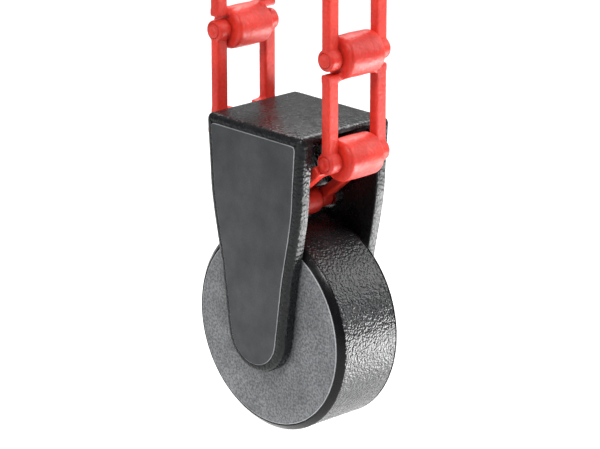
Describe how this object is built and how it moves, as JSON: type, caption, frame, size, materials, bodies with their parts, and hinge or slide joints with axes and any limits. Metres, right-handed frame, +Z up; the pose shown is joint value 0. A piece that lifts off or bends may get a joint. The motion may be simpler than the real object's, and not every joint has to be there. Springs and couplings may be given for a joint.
{
  "type": "self retracting lifeline",
  "caption": "Enclosed line drum with a spring-driven spool and centrifugal pawls, carried in a tapered fork that hangs on two runs of cast red link chain from an anchor plate.",
  "frame": {"origin": "centre of the anchor plate's top face, where the device is bolted up under a beam", "axes": "+Z up, out of the anchor plate; X along the drum shaft; Y from the front chain run to the back one"},
  "size_m": [0.076, 0.136, 0.3265],
  "materials": {
    "link_paint": "bright red enamel on cast links, semi-gloss",
    "yoke_paint": "black powder coat, satin",
    "cover_panel": "fine grained charcoal plastic",
    "case_shell": "fine grained dark grey plastic with a black rim",
    "band_skin": "pebbled black rubber",
    "outlet_guide": "smooth black wear-resistant plastic",
    "bare_steel": "zinc plated, satin",
    "spring_steel": "blued spring steel",
    "bronze": "sintered bronze",
    "webbing": "woven black webbing, wound flat",
    "spool_plastic": "moulded grey nylon"
  },
  "bodies": {
    "anchor": {"anchor_plate": "bare_steel", "front_anchor_pin": "link_paint", "back_anchor_pin": "link_paint"},
    "front_upper": {"front_upper_link": "link_paint", "front_middle_pin": "link_paint"},
    "front_middle": {"front_middle_link": "link_paint", "front_lower_pin": "link_paint"},
    "front_lower": {"front_lower_link": "link_paint"},
    "yoke": {"yoke_frame": "yoke_paint", "left_cheek_cover": "cover_panel", "right_cheek_cover": "cover_panel", "hanger_pin": "bare_steel", "drum_shaft": "bare_steel", "left_shaft_nut": "bare_steel", "left_hanger_clip": "spring_steel", "left_hanger_spacer": "bare_steel", "left_case_washer": "bronze", "right_shaft_nut": "bare_steel", "right_hanger_clip": "spring_steel", "right_hanger_spacer": "bare_steel", "right_case_washer": "bronze"},
    "drum_case": {"left_case": "case_shell", "right_case": "case_shell", "drum_band": "band_skin", "line_outlet": "outlet_guide", "spring_cover": "bare_steel", "power_spring": "spring_steel", "ratchet_ring": "bare_steel", "case_screw_1": "bare_steel", "case_screw_2": "bare_steel", "case_screw_3": "bare_steel", "case_screw_4": "bare_steel"},
    "spool": {"spool": "spool_plastic", "spool_flange": "spool_plastic", "wound_line": "webbing", "left_spool_bush": "bronze", "right_spool_bush": "bronze", "pawl_pin_1": "bare_steel", "pawl_pin_2": "bare_steel", "pawl_spring_1": "spring_steel", "pawl_spring_2": "spring_steel"},
    "pawl_a": {"pawl_1": "bare_steel"},
    "pawl_b": {"pawl_2": "bare_steel"},
    "back_upper": {"back_upper_link": "link_paint"},
    "back_middle": {"back_middle_link": "link_paint", "back_middle_pin": "link_paint"},
    "back_lower": {"back_lower_link": "link_paint", "back_lower_pin": "link_paint"}
  },
  "joints": [
    {"name": "front_run_swing", "type": "hinge", "parent": "anchor", "child": "front_upper", "pos_m": [0, -0.0478, -0.025], "axis": [1, 0, 0], "range_deg": [-7.5, 7.5]},
    {"name": "front_middle_hinge", "type": "hinge", "parent": "front_upper", "child": "front_middle", "pos_m": [0, -0.0478, -0.087], "axis": [1, 0, 0], "range_deg": [-2.35, 2.35]},
    {"name": "front_lower_hinge", "type": "hinge", "parent": "front_middle", "child": "front_lower", "pos_m": [0, -0.0478, -0.149], "axis": [1, 0, 0], "range_deg": [-9.9, 9.9]},
    {"name": "yoke_rock", "type": "hinge", "parent": "front_lower", "child": "yoke", "pos_m": [0, 0, -0.18849], "axis": [1, 0, 0], "range_deg": [-1.2, 1.2]},
    {"name": "case_swivel", "type": "hinge", "parent": "yoke", "child": "drum_case", "pos_m": [0, 0, -0.26299], "axis": [1, 0, 0], "range_deg": [-60, 60]},
    {"name": "spool_spin", "type": "hinge", "parent": "drum_case", "child": "spool", "pos_m": [0, 0, -0.26299], "axis": [1, 0, 0], "range_deg": [0, 3600], "stiffness_Nm_per_rad": 0.004, "springref_deg": -572.96},
    {"name": "pawl_a_swing", "type": "hinge", "parent": "spool", "child": "pawl_a", "pos_m": [0, 0.033, -0.26299], "axis": [-1, 0, 0], "range_deg": [0, 12], "stiffness_Nm_per_rad": 0.005, "springref_deg": -28.65},
    {"name": "pawl_b_swing", "type": "hinge", "parent": "spool", "child": "pawl_b", "pos_m": [0, -0.033, -0.26299], "axis": [-1, 0, 0], "range_deg": [0, 12], "stiffness_Nm_per_rad": 0.005, "springref_deg": -28.65},
    {"name": "back_run_swing", "type": "hinge", "parent": "anchor", "child": "back_upper", "pos_m": [0, 0.0478, -0.025], "axis": [1, 0, 0], "range_deg": [-7.5, 7.5]},
    {"name": "back_middle_hinge", "type": "hinge", "parent": "back_upper", "child": "back_middle", "pos_m": [0, 0.0478, -0.087], "axis": [1, 0, 0], "range_deg": [-2.35, 2.35]},
    {"name": "back_lower_hinge", "type": "hinge", "parent": "back_middle", "child": "back_lower", "pos_m": [0, 0.0478, -0.149], "axis": [1, 0, 0], "range_deg": [-9.9, 9.9]}
  ],
  "couplings": [
    {"joint": "front_middle_hinge", "follows": "front_run_swing", "ratio": 0.3},
    {"joint": "front_lower_hinge", "follows": "front_run_swing", "ratio": -1.3},
    {"joint": "back_run_swing", "follows": "front_run_swing", "ratio": 1},
    {"joint": "back_middle_hinge", "follows": "front_run_swing", "ratio": 0.3},
    {"joint": "back_lower_hinge", "follows": "front_run_swing", "ratio": -1.3}
  ]
}
